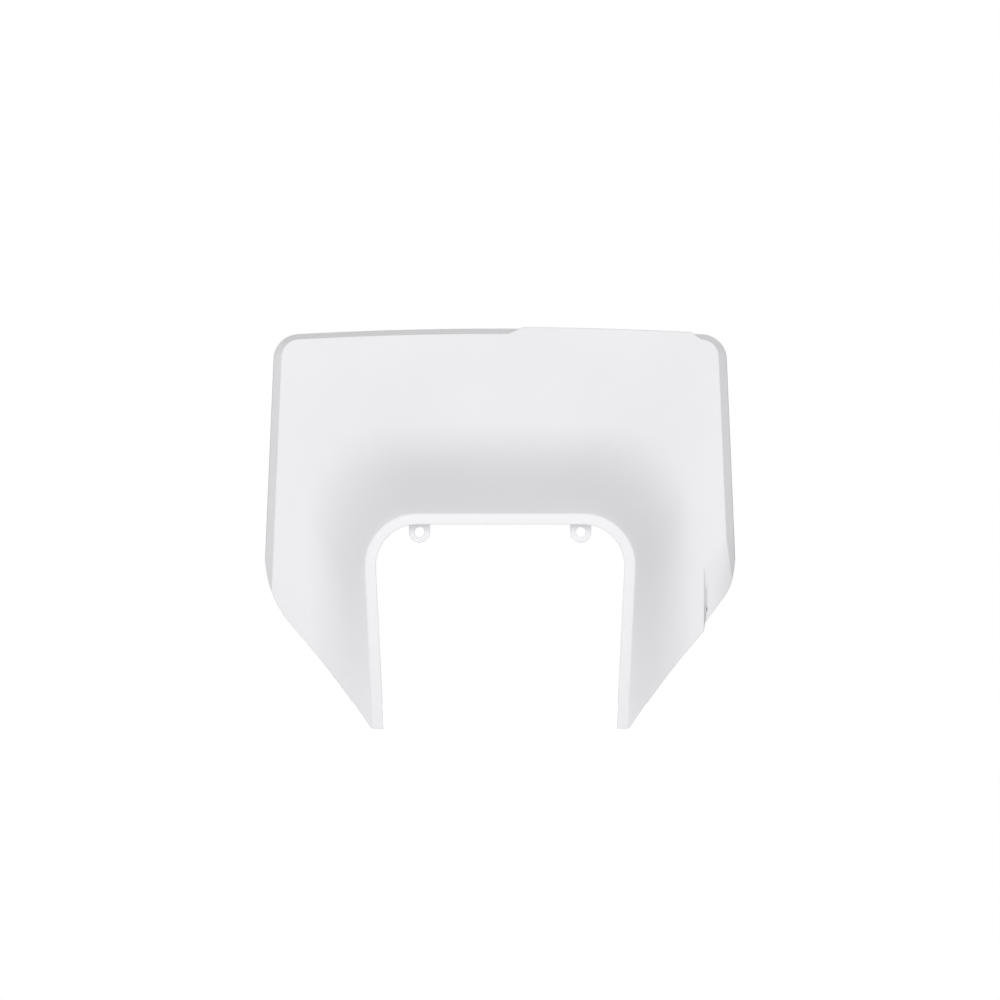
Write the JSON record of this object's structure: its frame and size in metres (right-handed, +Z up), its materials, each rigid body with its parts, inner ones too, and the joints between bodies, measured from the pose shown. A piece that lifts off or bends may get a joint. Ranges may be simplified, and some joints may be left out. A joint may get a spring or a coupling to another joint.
{
  "type": "headlight number plate",
  "caption": "Moulded motorbike headlight mask: a broad panel with a turned-back edge and a flared hood ending in a flat lip round a U-shaped lamp opening, with screw tabs inside.",
  "frame": {"origin": "midway between the two screw-tab holes, on the rear faces of the tabs", "axes": "+Z up, +Y back towards the rider, +X to the right of a viewer in front"},
  "size_m": [0.2598, 0.0703, 0.222],
  "materials": {
    "white_plastic": "satin"
  },
  "bodies": {
    "root": {"headlight_number_plate": "white_plastic"}
  },
  "joints": []
}
